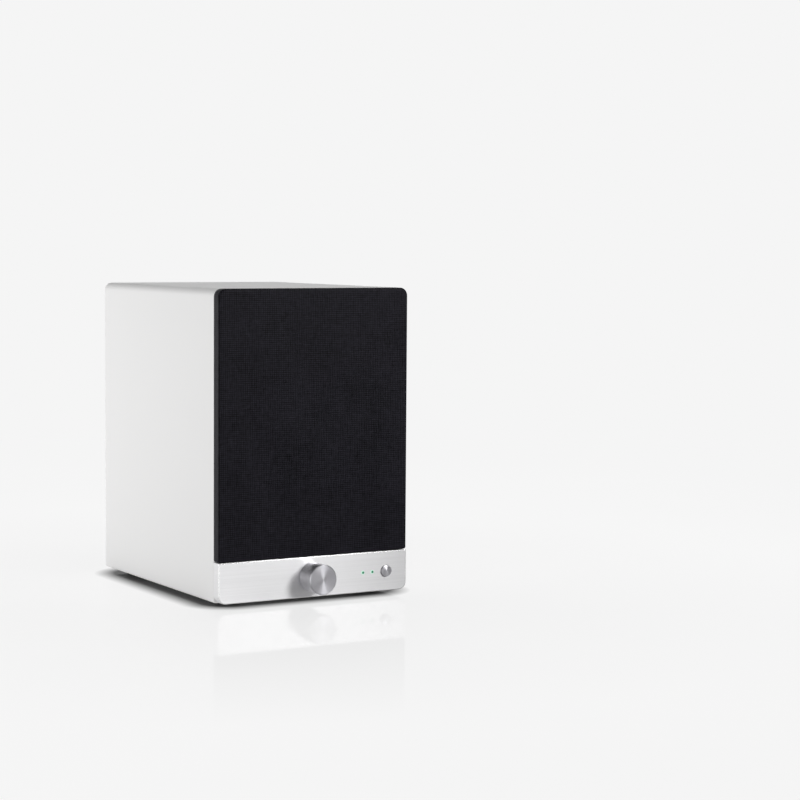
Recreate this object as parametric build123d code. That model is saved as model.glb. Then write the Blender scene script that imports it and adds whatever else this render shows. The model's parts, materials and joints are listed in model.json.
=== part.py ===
from build123d import *
import os
from math import asin, cos, radians, sin

# An active two-way bookshelf speaker. Millimetres, +Z up, the front faces -Y, and +X is to the right
# seen from the front. The origin is on the surface it stands on, in the middle of its width and depth.

# ---- driving dimensions --------------------------------------------------------------------------
WIDTH = 172.0
HEIGHT = 250.0
DEPTH = 220.0
WALL = 12.0
TOP_EDGE_R = 6.0
LOW_EDGE_R = 2.0
EDGE_SOFTENING = 0.6
FOOT_H = 4.0

FRONT_T = 9.0
BAR_H = 33.0
KNOB_GAP = 0.5
KNOB_LENGTH = 18.5
JACK_LENGTH = 7.5
PLATE_T = 2.0
REAR_RECESS = 1.5

OVERALL_DEPTH = KNOB_LENGTH + KNOB_GAP + FRONT_T + DEPTH - REAR_RECESS + PLATE_T + JACK_LENGTH

# ---- main planes, worked out from the driving dimensions -----------------------------------------
KNOB_FACE = -OVERALL_DEPTH / 2
BAR_FACE = KNOB_FACE + KNOB_LENGTH + KNOB_GAP
FRONT = BAR_FACE + FRONT_T
BACK = FRONT + DEPTH
REAR_FACE = BACK - REAR_RECESS
PLATE_FACE = REAR_FACE + PLATE_T
BASE = FOOT_H
TOP = BASE + HEIGHT
FLOOR_IN = BASE + WALL
CEILING_IN = TOP - WALL
SIDE_IN = WIDTH / 2 - WALL
MIDDLE_Z = BASE + HEIGHT / 2

# ---- baffle and what sits in it ------------------------------------------------------------------
BAFFLE_T = 15.0
REBATE_LIP = 1.6
BAFFLE_BACK = FRONT + BAFFLE_T
CAVITY_R = 3.0
SOCKET_X = 71.0
SOCKET_Z = (BASE + 44.5, BASE + 239.3)
SOCKET_R = 7.75
SOCKET_LIP = 1.5
SOCKET_BARREL_R = 5.6
SOCKET_DEPTH = 13.0
PEG_R = 3.2
PEG_LENGTH = 9.0
FLARE_R = 5.5
PORT_R = 18.5
PORT_AT = (-47.0, BASE + 208.6)
TWEETER_AT = (35.5, BASE + 212.5)
SPIGOT_R = 20.5
REAR_SEAT_R = 25.0
REAR_SEAT_DEPTH = 6.0
PORT_WALL = 1.9
PORT_LENGTH = 110.0
WOOFER_AT = (0.0, BASE + 118.3)
WOOFER_HOLE_R = 62.0
WOOFER_FLANGE_R = 73.5
WOOFER_FLANGE_T = 3.0
WOOFER_SCREW_PCD = 135.0

# ---- front bar and controls ----------------------------------------------------------------------
BAR_WALL = 2.0
BAR_LOW_R = 6.0
BAR_TOP_R = 1.0
BAR_BEVEL = 0.6
CONTROL_Z = BASE + 16.4
KNOB_R = 12.25
KNOB_AT = (-2.0, CONTROL_Z)
SHAFT_R = 3.0
SHAFT_CLEARANCE = 0.05
BUSH_R = 3.5
LED_X = (45.0, 53.8)
LED_R = 1.5
BUTTON_X = 66.7
BUTTON_R = 4.7
BUTTON_GAP = 0.25
BUTTON_OUT = 2.0
BUTTON_CROWN = 0.9
BOARD_T = 1.6
BOARD_FRONT = BAR_FACE + 6.0
BAR_SCREW_X = (-64.0, -22.0, 31.0)
BAR_SCREW_Z = BASE + 18.0
BOARD_SCREWS = ((-46.0, BASE + 8.0), (22.0, BASE + 25.0), (72.0, BASE + 26.0))
BOARD_X = (-50.0, 76.0)
BOARD_Z = (BASE + 4.5, BASE + 28.5)
GROMMET_AT = (-43.0, BASE + 24.0)

# ---- grille --------------------------------------------------------------------------------------
GRILLE_GAP = 0.5
GRILLE_TOP_R = 6.5
GRILLE_LOW_R = 1.5
CLOTH_T = 0.6
GRILLE_Z = (BASE + BAR_H + GRILLE_GAP, TOP)

# ---- rear panel and connectors -------------------------------------------------------------------
REAR_T = 12.0
PLATE_SIZE = (112.0, 166.0)
PLATE_Z = 112.0
PLATE_HOLE = (96.0, 150.0)
INLET_AT = (-24.0, 48.0)
SWITCH_AT = (22.0, 48.0)
TERMINAL_AT = (0.0, 82.0)
LEVER_X = 11.5
POCKET_DEPTH = 12.5
JACK_X = (-34.0, -16.0)
JACK_Z = 118.0
JACK_R = 4.15
NETWORK_AT = (24.0, 118.0)
SETUP_AT = (24.0, 146.0)
AMP_BOARD_BACK = 102.6
ROCKER_TILT = 8.0

# ---- inside --------------------------------------------------------------------------------------
BRACE_Y = (30.0, 42.0)
FELT_T = 4.0
STANDOFF = 6.0
STATIC_FIT = 0.05
WIRE_BEND = 5.5
WIRE_END = 0.4


def block(x, y, z):
    """A box from its low and high limit along each axis."""
    size = [high - low for low, high in (x, y, z)]
    middle = [(high + low) / 2 for low, high in (x, y, z)]
    return Pos(*middle) * Box(*size)


def rod(at, y, r):
    """A cylinder along Y at (x, z) between two values of y."""
    x, z = at
    return Pos(x, sum(y) / 2, z) * Rot(90, 0, 0) * Cylinder(r, y[1] - y[0])


def ring(at, y, outer, inner):
    return rod(at, y, outer) - rod(at, (y[0] - 1, y[1] + 1), inner)


def plate(outline, y):
    """A flat outline drawn as (x, z), made solid between two values of y."""
    return extrude(Plane.XZ.offset(-y[1]) * outline, y[1] - y[0])


def turned(at, *edges):
    """A solid of revolution about Y at (x, z), from profile edges drawn as (radius, y)."""
    x, z = at
    return Pos(x, 0, z) * revolve(make_face(edges), Axis.Y)


def closed(*points):
    """The edges of a closed polygon."""
    return Polyline(*points, close=True).edges()


def cap_arc(r, base, rise):
    """An arc of a circle centred on the axis, from (r, base) up to (0, base - rise)."""
    radius = (r * r + rise * rise) / (2 * rise)
    centre = base - rise + radius
    half_angle = asin(r / radius) / 2
    middle = (radius * sin(half_angle), centre - radius * cos(half_angle))
    return ThreePointArc((r, base), middle, (0, base - rise))


def closed_cap(r, base, rise):
    """The profile of a solid cap that bulges to the front."""
    return [cap_arc(r, base, rise), Line((0, base - rise), (0, base)), Line((0, base), (r, base))]


def domed(at, r, base, rise, thick):
    """A thin spherical dome that bulges to the front, open behind."""
    outer = cap_arc(r, base, rise)
    inner = cap_arc(r - thick, base, rise - thick)
    rim = Line((r - thick, base), (r, base))
    axis = Line((0, base - rise), (0, base - rise + thick))
    return turned(at, rim, outer, axis, inner)


def rounded(width, z, low_r, high_r):
    """A rectangle about x = 0 with its lower and upper corners rounded differently."""
    shape = Pos(0, sum(z) / 2) * Rectangle(width, z[1] - z[0])
    shape = fillet(shape.vertices().sort_by(Axis.Y)[:2], low_r)
    return fillet(shape.vertices().sort_by(Axis.Y)[-2:], high_r)


def around(radius, count, first=0.0):
    """Points evenly round a circle, as (x, z) offsets."""
    angles = [radians(first + 360 * k / count) for k in range(count)]
    return [(radius * cos(a), radius * sin(a)) for a in angles]


def beside(at, offset):
    return (at[0] + offset[0], at[1] + offset[1])


def screw(at, head_y, tip_y, head_r, head_t, shank_r):
    """A pan-head screw along Y with a cross recess: head_y is the seat under its head."""
    out = 1 if head_y > tip_y else -1
    head_top = head_y + out * head_t
    head = rod(at, sorted((head_y, head_top)), head_r)
    rim = head.edges().sort_by(Axis.Y)[-1 if out > 0 else 0]
    head = fillet(rim, head_t * 0.45)
    x, z = at
    slot_y = sorted((head_top + out, head_top - out * head_t * 0.5))
    arm, half = head_r * 0.55, head_r * 0.11
    head -= block((x - arm, x + arm), slot_y, (z - half, z + half))
    head -= block((x - half, x + half), slot_y, (z - arm, z + arm))
    return head + rod(at, sorted((head_y, tip_y)), shank_r)


def group(solids):
    """Separate solids kept together in one node."""
    return Compound(children=[s for item in solids for s in item.solids()])


def wire(points, r):
    """A round cable along straight runs joined by tangent arcs."""
    path = FilletPolyline(*points, radius=WIRE_BEND)
    start = Plane(origin=path @ 0, z_dir=path % 0)
    return sweep(start * Circle(r), path=path)


# ---- cabinet -------------------------------------------------------------------------------------
def cavity_outline():
    return Pos(0, MIDDLE_Z) * RectangleRounded(2 * SIDE_IN, CEILING_IN - FLOOR_IN, CAVITY_R)


def baffle_outline():
    z = (BASE + REBATE_LIP, TOP - REBATE_LIP)
    return rounded(WIDTH - 2 * REBATE_LIP, z, LOW_EDGE_R / 4, TOP_EDGE_R - REBATE_LIP)


def cabinet_wrap():
    outer = plate(rounded(WIDTH, (BASE, TOP), LOW_EDGE_R, TOP_EDGE_R), (FRONT, BACK))
    by_depth = outer.edges().group_by(Axis.Y)
    outer = fillet(by_depth[0] + by_depth[-1], EDGE_SOFTENING)
    outer -= plate(cavity_outline(), (FRONT - 1, BACK + 1))
    return outer - plate(baffle_outline(), (FRONT - 1, BAFFLE_BACK))


def flared_hole(at, throat_r):
    """The cutter for a hole whose front edge is rounded over, with a spigot bore and a seat behind."""
    lip = FRONT + FLARE_R
    seat = BAFFLE_BACK - REAR_SEAT_DEPTH
    mouth_r = throat_r + FLARE_R
    swing = FLARE_R * cos(radians(45))
    arc = ThreePointArc((mouth_r, FRONT), (mouth_r - swing, lip - swing), (throat_r, lip))
    rest = Polyline(
        (throat_r, lip), (SPIGOT_R, lip), (SPIGOT_R, seat), (REAR_SEAT_R, seat),
        (REAR_SEAT_R, BAFFLE_BACK + 1), (0, BAFFLE_BACK + 1), (0, FRONT - 1), (mouth_r, FRONT - 1),
        (mouth_r, FRONT),
    )
    return turned(at, arc, *rest.edges())


def front_baffle():
    body = plate(baffle_outline(), (FRONT, BAFFLE_BACK))
    body = chamfer(body.edges().group_by(Axis.Y)[0], 0.3)
    through = (FRONT - 1, BAFFLE_BACK + 1)
    body -= rod(WOOFER_AT, through, WOOFER_HOLE_R)
    for offset in around(WOOFER_SCREW_PCD / 2, 4, 45):
        body -= rod(beside(WOOFER_AT, offset), (FRONT - 1, FRONT + 12), 1.6 + STATIC_FIT)
    body -= flared_hole(PORT_AT, PORT_R)
    body -= flared_hole(TWEETER_AT, TWEETER_R)
    for offset in around(TWEETER_SCREW_R, 3, 90):
        body -= rod(beside(TWEETER_AT, offset), (FRONT + 2.5, BAFFLE_BACK), 1.0 + STATIC_FIT)
    for x in (-SOCKET_X, SOCKET_X):
        for z in SOCKET_Z:
            body -= rod((x, z), (FRONT - 1, FRONT + SOCKET_LIP), SOCKET_R)
            body -= rod((x, z), (FRONT, FRONT + SOCKET_DEPTH), SOCKET_BARREL_R)
    for x in BAR_SCREW_X:
        body -= rod((x, BAR_SCREW_Z), through, 2.15)
    return body - rod(GROMMET_AT, through, 5.0)


def rear_panel():
    body = plate(cavity_outline(), (REAR_FACE - REAR_T, REAR_FACE))
    body = chamfer(body.edges().group_by(Axis.Y)[-1], 0.4)
    hole = Pos(0, PLATE_Z) * RectangleRounded(*PLATE_HOLE, 6)
    body -= plate(hole, (REAR_FACE - REAR_T - 1, REAR_FACE + 1))
    for at in plate_screw_places():
        body -= rod(at, (REAR_FACE - 10.5, REAR_FACE + 1), 1.5 + STATIC_FIT)
    return body


def window_brace():
    body = plate(cavity_outline(), BRACE_Y)
    window = Pos(0, MIDDLE_Z) * RectangleRounded(112, 186, 20)
    return body - plate(window, (BRACE_Y[0] - 1, BRACE_Y[1] + 1))


def damping_felt():
    """Felt sheets on both side walls and under the top, between the baffle and the brace."""
    y = (BAFFLE_BACK + 7, BRACE_Y[0] - 1)
    z = (BASE + 60, CEILING_IN - CAVITY_R)
    left = block((-SIDE_IN, -SIDE_IN + FELT_T), y, z)
    right = block((SIDE_IN - FELT_T, SIDE_IN), y, z)
    top = block((-20, SIDE_IN - 8), (-60, y[1]), (CEILING_IN - FELT_T, CEILING_IN))
    return group([left, right, top])


def feet():
    places = [(x, y) for x in (-64, 64) for y in (FRONT + 22, BACK - 22)]
    one = Cylinder(10, FOOT_H)
    one = fillet(one.edges().sort_by(Axis.Z)[0], 1.2)
    return group([Pos(x, y, FOOT_H / 2) * one for x, y in places])


# ---- grille --------------------------------------------------------------------------------------
def grille_outline(inset=0.0):
    z = (GRILLE_Z[0] + inset, GRILLE_Z[1] - inset)
    return rounded(WIDTH - 2 * inset, z, GRILLE_LOW_R - inset, GRILLE_TOP_R - inset)


def grille_frame():
    y = (BAR_FACE + CLOTH_T, FRONT)
    body = plate(grille_outline(CLOTH_T), y)
    body = fillet(body.edges().group_by(Axis.Y)[0], 0.8)
    through = (y[0] - 1, y[1] + 1)
    body -= rod(WOOFER_AT, through, 77.0)
    high = Pos(0, BASE + 206.7) * RectangleRounded(146, 47, 8)
    body -= plate(high, through)
    for at in peg_places():
        body -= rod(at, (FRONT - 4, FRONT + 1), PEG_R)
    return body


def peg_places():
    return [(x, z) for x in (-SOCKET_X, SOCKET_X) for z in SOCKET_Z]


def grille_pegs():
    """Round pegs with a ball end, pressed into the back of the frame."""
    pegs = []
    for at in peg_places():
        peg = rod(at, (FRONT - 4, FRONT + PEG_LENGTH), PEG_R)
        pegs.append(fillet(peg.edges().sort_by(Axis.Y)[-1], 1.4))
    return group(pegs)


def grille_cloth():
    """The cloth's outer form: a thin skin over the frame's front and sides."""
    body = plate(grille_outline(), (BAR_FACE, FRONT))
    body = fillet(body.edges().group_by(Axis.Y)[0], 1.4)
    core = plate(grille_outline(CLOTH_T), (BAR_FACE + CLOTH_T, FRONT + 1))
    return body - fillet(core.edges().group_by(Axis.Y)[0], 0.8)


def grille_sockets():
    """Stepped cups pressed into the baffle, with a funnel for the peg."""
    cups = []
    for at in peg_places():
        profile = closed(
            (SOCKET_R, FRONT + 0.2), (SOCKET_R, FRONT + SOCKET_LIP), (SOCKET_BARREL_R, FRONT + SOCKET_LIP),
            (SOCKET_BARREL_R, FRONT + SOCKET_DEPTH), (0, FRONT + SOCKET_DEPTH), (0, FRONT + SOCKET_DEPTH - 2),
            (PEG_R + 0.3, FRONT + SOCKET_DEPTH - 2), (PEG_R + 0.3, FRONT + 2.5), (PEG_R + 1.2, FRONT + 1.6),
            (SOCKET_R - 2.6, FRONT + 1.2), (SOCKET_R - 2.2, FRONT + 0.2),
        )
        cups.append(turned(at, *profile))
    return group(cups)


# ---- front bar and controls ----------------------------------------------------------------------
def front_bar():
    z = (BASE, BASE + BAR_H)
    body = plate(rounded(WIDTH, z, BAR_LOW_R, BAR_TOP_R), (BAR_FACE, FRONT))
    body = chamfer(body.edges().group_by(Axis.Y)[0], BAR_BEVEL)
    inside = rounded(WIDTH - 5, (z[0] + 2.5, z[1] - 2.5), BAR_LOW_R - 2.5, 1.0)
    wall_back = BAR_FACE + BAR_WALL
    body -= plate(inside, (wall_back, FRONT + 1))
    for x in BAR_SCREW_X:
        body += rod((x, BAR_SCREW_Z), (wall_back - 0.5, FRONT), 3.6)
        body -= rod((x, BAR_SCREW_Z), (wall_back + 1, FRONT + 1), 2.0 + STATIC_FIT)
    for at in BOARD_SCREWS:
        body += rod(at, (wall_back - 0.5, BOARD_FRONT), 2.4)
        body -= rod(at, (wall_back + 0.5, BOARD_FRONT + 1), 1.0 + STATIC_FIT)
    front = (BAR_FACE - 1, wall_back + 1)
    body -= rod(KNOB_AT, front, BUSH_R + STATIC_FIT)
    body -= rod((BUTTON_X, CONTROL_Z), front, BUTTON_R + BUTTON_GAP)
    for x in LED_X:
        body -= rod((x, CONTROL_Z), front, LED_R + STATIC_FIT)
    return body


def volume_knob():
    back = BAR_FACE - KNOB_GAP
    body = rod(KNOB_AT, (KNOB_FACE, back), KNOB_R)
    body = chamfer(body.edges().sort_by(Axis.Y)[0], 0.7)
    body = chamfer(body.edges().sort_by(Axis.Y)[-1], 0.3)
    body -= rod(KNOB_AT, (back - 6.5, back + 1), 8.0)
    body -= rod(KNOB_AT, (back - 15, back), SHAFT_R)
    return body - knob_screw_hole(1.5)


def knob_screw_hole(r):
    """A radial hole from below, that the set screw fills."""
    y = BAR_FACE - KNOB_GAP - 10.0
    length = KNOB_R - SHAFT_R + 2
    return Pos(KNOB_AT[0], y, CONTROL_Z - SHAFT_R - length / 2) * Cylinder(r, length)


def knob_set_screw():
    y = BAR_FACE - KNOB_GAP - 10.0
    length = 6.0
    middle = CONTROL_Z - SHAFT_R - 0.1 - length / 2
    body = Pos(KNOB_AT[0], y, middle) * Cylinder(1.5 - STATIC_FIT, length)
    bottom = CONTROL_Z - SHAFT_R - 0.1 - length
    socket = extrude(Plane.XY.offset(bottom) * Pos(KNOB_AT[0], y) * RegularPolygon(0.9, 6), 1.6)
    return body - socket


def encoder_shaft():
    body = rod(KNOB_AT, (BAR_FACE - KNOB_GAP - 14.5, BOARD_FRONT - 0.5), SHAFT_R)
    return chamfer(body.edges().sort_by(Axis.Y)[0], 0.4)


def encoder_body():
    wall_back = BAR_FACE + BAR_WALL
    half = 6.2
    x = (KNOB_AT[0] - half, KNOB_AT[0] + half)
    body = block(x, (wall_back, BOARD_FRONT), (CONTROL_Z - half, CONTROL_Z + half))
    body += rod(KNOB_AT, (BAR_FACE - 5.5, wall_back), BUSH_R)
    return body - rod(KNOB_AT, (BAR_FACE - 7, BOARD_FRONT - 0.3), SHAFT_R + SHAFT_CLEARANCE)


def encoder():
    """The encoder with the washer and nut that hold it in the bar."""
    washer = ring(KNOB_AT, (BAR_FACE - 0.5, BAR_FACE), 6.2, BUSH_R + STATIC_FIT)
    y = (BAR_FACE - 2.5, BAR_FACE - 0.5)
    hexagon = Pos(*KNOB_AT) * RegularPolygon(5.0, 6, major_radius=False)
    nut = plate(hexagon, y) - rod(KNOB_AT, (y[0] - 1, y[1] + 1), BUSH_R + STATIC_FIT)
    return group([encoder_body(), washer, nut])


def control_board():
    """The board behind the bar, with the two lamps that shine into the light pipes."""
    body = block(BOARD_X, (BOARD_FRONT, BOARD_FRONT + BOARD_T), BOARD_Z)
    through = (BOARD_FRONT - 1, BOARD_FRONT + BOARD_T + 1)
    for x in BAR_SCREW_X:
        body -= rod((x, BAR_SCREW_Z), through, 4.2)
    for at in BOARD_SCREWS:
        body -= rod(at, through, 1.3)
    z = (CONTROL_Z - 0.8, CONTROL_Z + 0.8)
    lamps = [block((x - 1.5, x + 1.5), (BOARD_FRONT - 1.2, BOARD_FRONT), z) for x in LED_X]
    return group([body, *lamps])


def small_screws():
    """The screws of one size that hold the control board and the tweeter."""
    seat = BOARD_FRONT + BOARD_T
    board = [screw(at, seat, seat - 4.0, 2.1, 1.2, 1.0) for at in BOARD_SCREWS]
    places = [beside(TWEETER_AT, offset) for offset in around(TWEETER_SCREW_R, 3, 90)]
    tweeter = [screw(at, TWEETER_BACK, FRONT + 3.0, 2.1, 1.2, 1.0) for at in places]
    return group(board + tweeter)


def bar_screws():
    seat = BAFFLE_BACK
    return group([screw((x, BAR_SCREW_Z), seat, FRONT - 5.5, 3.7, 2.4, 2.0) for x in BAR_SCREW_X])


def light_pipes():
    pipes = []
    for x in LED_X:
        at = (x, CONTROL_Z)
        pipe = rod(at, (BAR_FACE - 0.3, BOARD_FRONT - 1.4), LED_R)
        pipe = fillet(pipe.edges().sort_by(Axis.Y)[0], 0.5)
        pipes.append(pipe + rod(at, (BAR_FACE + BAR_WALL, BAR_FACE + BAR_WALL + 1.2), 2.2))
    return group(pipes)


def power_button():
    """A turned cap kept in by a flange behind the bar, with a short stem."""
    at = (BUTTON_X, CONTROL_Z)
    front = BAR_FACE - BUTTON_OUT
    flange = BAR_FACE + BAR_WALL + 0.1
    body = rod(at, (front + BUTTON_CROWN, flange), BUTTON_R)
    cap = closed_cap(BUTTON_R, front + BUTTON_CROWN, BUTTON_CROWN)
    body += turned(at, *cap)
    body += rod(at, (flange, flange + 1.0), 6.0)
    return body + rod(at, (flange + 1.0, flange + 2.0), 1.5)


def button_dome():
    """A rubber return dome between the board and the button's stem."""
    top = BAR_FACE + BAR_WALL + 2.1
    foot = BOARD_FRONT
    wall = 0.45
    profile = closed(
        (0, top), (1.7, top), (4.0, foot - 0.5), (4.8, foot - 0.5), (4.8, foot), (4.0 - wall, foot),
        (1.7 - wall, top + wall), (0, top + wall),
    )
    return turned((BUTTON_X, CONTROL_Z), *profile)


def cable_grommet():
    """A flanged plug that seals the control cable's hole in the baffle."""
    y = (FRONT + 0.5, BAFFLE_BACK)
    body = rod(GROMMET_AT, y, 5.0 - STATIC_FIT)
    body += rod(GROMMET_AT, (BAFFLE_BACK, BAFFLE_BACK + 2), 6.5)
    return body - rod(GROMMET_AT, (y[0] - 1, BAFFLE_BACK + 3), 2.0)


# ---- woofer --------------------------------------------------------------------------------------
SEAT_Y = FRONT + 2.5
BASKET_WALL_R = 61.7
SURROUND_T = 0.6
ROLL_R = (47.4, 57.2)
ROLL_RISE = 3.8
CONE_RIM_R = 47.2
FORMER_R = 13.0
FORMER_WALL = 0.4
CONE_T = 0.8
NECK_Y = FRONT + 24.0
CAP_R = 20.5
CAP_RISE = 8.0
SPIDER_Y = FRONT + 30.0
SPIDER_SHELF = (34.0, 41.0)
TOP_PLATE_Y = (FRONT + 38.0, FRONT + 44.0)
MAGNET_Y = (FRONT + 44.0, FRONT + 59.0)
YOKE_Y = (FRONT + 59.0, FRONT + 65.0)
TOP_PLATE_R = 40.0
MAGNET_R = 42.0
POLE_R = 12.1


def woofer_basket():
    """A pressed frame: front flange, surround seat, six legs, spider shelf and mounting ring."""
    shelf_in, shelf_out = SPIDER_SHELF
    edge = FRONT - WOOFER_FLANGE_T
    base = TOP_PLATE_Y[0]
    profile = closed(
        (WOOFER_FLANGE_R, FRONT), (WOOFER_FLANGE_R, edge + 0.9), (WOOFER_FLANGE_R - 0.9, edge),
        (61.0, edge), (60.2, edge + 0.8), (60.2, SEAT_Y), (56.0, SEAT_Y), (56.0, SEAT_Y + 1.5),
        (58.0, SEAT_Y + 1.5), (shelf_out - 1.6, SPIDER_Y), (shelf_in, SPIDER_Y), (shelf_in, SPIDER_Y + 1.5),
        (shelf_out - 2.6, SPIDER_Y + 1.5), (shelf_out - 2.6, base - 1.5), (26.0, base - 1.5), (26.0, base),
        (shelf_out - 1.0, base), (shelf_out - 1.0, SPIDER_Y + 0.6), (BASKET_WALL_R, SEAT_Y + 1.2),
        (BASKET_WALL_R, FRONT),
    )
    body = turned(WOOFER_AT, *profile)
    for k in range(6):
        window = Pos(51, 0) * Rectangle(24, 34)
        y = (SEAT_Y + 4, SPIDER_Y - 2)
        cutter = plate(Rot(0, 0, 60 * k) * window, y)
        body -= Pos(WOOFER_AT[0], 0, WOOFER_AT[1]) * cutter
    for offset in around(WOOFER_SCREW_PCD / 2, 4, 45):
        body -= rod(beside(WOOFER_AT, offset), (edge - 1, FRONT + 1), 1.6 + STATIC_FIT)
    return body


def woofer_gasket():
    return ring(WOOFER_AT, (SEAT_Y - SURROUND_T - 2.6, SEAT_Y - SURROUND_T), 60.0, 57.8)


def woofer_surround():
    """A rubber half-roll between two flat glue rings."""
    inner, outer = ROLL_R
    low, high = SEAT_Y - SURROUND_T, SEAT_Y
    middle = (inner + outer) / 2
    roll_over = ThreePointArc((outer, low), (middle, low - ROLL_RISE), (inner, low))
    roll_under = ThreePointArc(
        (inner + SURROUND_T, high), (middle, high - ROLL_RISE), (outer - SURROUND_T, high)
    )
    outer_flange = Polyline((outer - SURROUND_T, high), (60.0, high), (60.0, low), (outer, low))
    inner_flange = Polyline((inner, low), (44.6, low), (44.6, high), (inner + SURROUND_T, high))
    return turned(WOOFER_AT, roll_over, *inner_flange.edges(), roll_under, *outer_flange.edges())


def woofer_cone():
    """A curved cone, deepest at its neck, glued to the voice coil former."""
    front = [(CONE_RIM_R, SEAT_Y), (34.0, SEAT_Y + 6.5), (FORMER_R, NECK_Y)]
    back = [(FORMER_R, NECK_Y + 2.0), (34.0, SEAT_Y + 6.5 + CONE_T), (CONE_RIM_R, SEAT_Y + CONE_T)]
    over = ThreePointArc(*front)
    under = ThreePointArc(*back)
    neck = Line(front[-1], back[0])
    rim = Line(back[-1], front[0])
    return turned(WOOFER_AT, over, neck, under, rim)


def dust_cap():
    """A pressed dome, whose rim stands on the cone's front."""
    return domed(WOOFER_AT, CAP_R, NECK_Y - 6.7, CAP_RISE, 0.7)


def voice_coil_former():
    return ring(WOOFER_AT, (NECK_Y - 1.0, TOP_PLATE_Y[1] + 3.0), FORMER_R, FORMER_R - FORMER_WALL)


def voice_coil():
    middle = sum(TOP_PLATE_Y) / 2
    return ring(WOOFER_AT, (middle - 4.0, middle + 4.0), FORMER_R + 0.7, FORMER_R)


def woofer_spider():
    """A corrugated cloth ring, cupped between the former and its shelf."""
    waves = 4
    inner, outer = FORMER_R, SPIDER_SHELF[0]
    pitch = (outer - inner) / waves
    rise = 1.3
    thick = 0.5
    over = [(inner, SPIDER_Y - thick)]
    for k in range(waves):
        over.append((inner + (k + 0.25) * pitch, SPIDER_Y - thick - rise))
        over.append((inner + (k + 0.75) * pitch, SPIDER_Y - thick + rise))
    over.append((outer, SPIDER_Y - thick))
    over.append((outer + 4.0, SPIDER_Y - thick))
    under = [(r, y + thick) for r, y in reversed(over)]
    return turned(WOOFER_AT, *closed(*over, *under))


def woofer_magnet():
    body = ring(WOOFER_AT, MAGNET_Y, MAGNET_R, 17.0)
    rims = body.edges().filter_by(GeomType.CIRCLE).sort_by(SortBy.RADIUS)[-2:]
    return fillet(rims, 1.2)


def woofer_pole_plates():
    """The front plate round the gap, and the back plate with its vented centre pole."""
    front = ring(WOOFER_AT, TOP_PLATE_Y, TOP_PLATE_R, FORMER_R + 1.2)
    body = rod(WOOFER_AT, YOKE_Y, TOP_PLATE_R)
    body += rod(WOOFER_AT, (TOP_PLATE_Y[0], YOKE_Y[0]), POLE_R)
    body -= rod(WOOFER_AT, (TOP_PLATE_Y[0] - 1, YOKE_Y[1] + 1), 4.0)
    return group([front, body])


def woofer_screws():
    seat = FRONT - WOOFER_FLANGE_T
    places = [beside(WOOFER_AT, offset) for offset in around(WOOFER_SCREW_PCD / 2, 4, 45)]
    return group([screw(at, seat, FRONT + 11.5, 3.7, 2.4, 1.6) for at in places])


def woofer_terminals():
    """A tag board with two tags, fixed under the mounting ring."""
    z = WOOFER_AT[1] - TOP_PLATE_R - 1.0
    board = block((-9, 9), (SPIDER_Y + 2.5, SPIDER_Y + 4.0), (z - 9, z + 0.8))
    for x in (-5.5, 5.5):
        board += block((x - 1.4, x + 1.4), (SPIDER_Y + 4.0, SPIDER_Y + 4.5), (z - 15, z - 2))
    return board


# ---- tweeter -------------------------------------------------------------------------------------
TWEETER_R = 18.2
TWEETER_SCREW_R = 22.2
DOME_R = 10.0
DOME_RISE = 4.2
DOME_Y = FRONT + 11.6
TWEETER_BACK = BAFFLE_BACK - 1.0
TWEETER_PLATE_Y = (TWEETER_BACK, TWEETER_BACK + 4.0)
TWEETER_MAGNET_Y = (TWEETER_BACK + 4.0, TWEETER_BACK + 11.0)
TWEETER_YOKE_Y = (TWEETER_BACK + 11.0, TWEETER_BACK + 15.0)


def tweeter_mount():
    """A moulded ring: spigot, short waveguide, groove for the suspension, and screw flange."""
    lip = FRONT + FLARE_R + 0.1
    seat = BAFFLE_BACK - REAR_SEAT_DEPTH
    groove = (DOME_Y - 0.05, DOME_Y + 0.4)
    profile = closed(
        (TWEETER_R + 0.1, lip), (SPIGOT_R - 0.2, lip), (SPIGOT_R - 0.2, seat), (REAR_SEAT_R - 0.2, seat),
        (REAR_SEAT_R - 0.2, TWEETER_BACK), (12.4, TWEETER_BACK), (12.4, TWEETER_BACK - 1.2),
        (14.0, TWEETER_BACK - 1.2), (14.0, groove[1]), (15.6, groove[1]), (15.6, groove[0]),
        (14.2, groove[0]), (14.2, groove[0] - 0.8), (15.2, groove[0] - 0.8), (15.6, groove[0] - 2.0),
        (16.8, groove[0] - 2.0), (16.8, lip + 1.6), (TWEETER_R + 0.1, lip + 1.6),
    )
    body = turned(TWEETER_AT, *profile)
    for offset in around(TWEETER_SCREW_R, 3, 90):
        body -= rod(beside(TWEETER_AT, offset), (seat - 1, TWEETER_BACK + 1), 1.0 + STATIC_FIT)
    return body


def tweeter_guard():
    """A thin ring with four spokes and a small centre disc."""
    lip = FRONT + FLARE_R + 0.2
    y = (lip, lip + 1.0)
    body = ring(TWEETER_AT, y, TWEETER_R, 17.0)
    x, z = TWEETER_AT
    half = 0.45
    reach = 17.4
    body += block((x - reach, x + reach), y, (z - half, z + half))
    body += block((x - half, x + half), y, (z - reach, z + reach))
    return body + rod(TWEETER_AT, (lip - 0.3, lip + 1.2), 2.2)


def tweeter_dome():
    return domed(TWEETER_AT, DOME_R, DOME_Y, DOME_RISE, 0.35)


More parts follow.
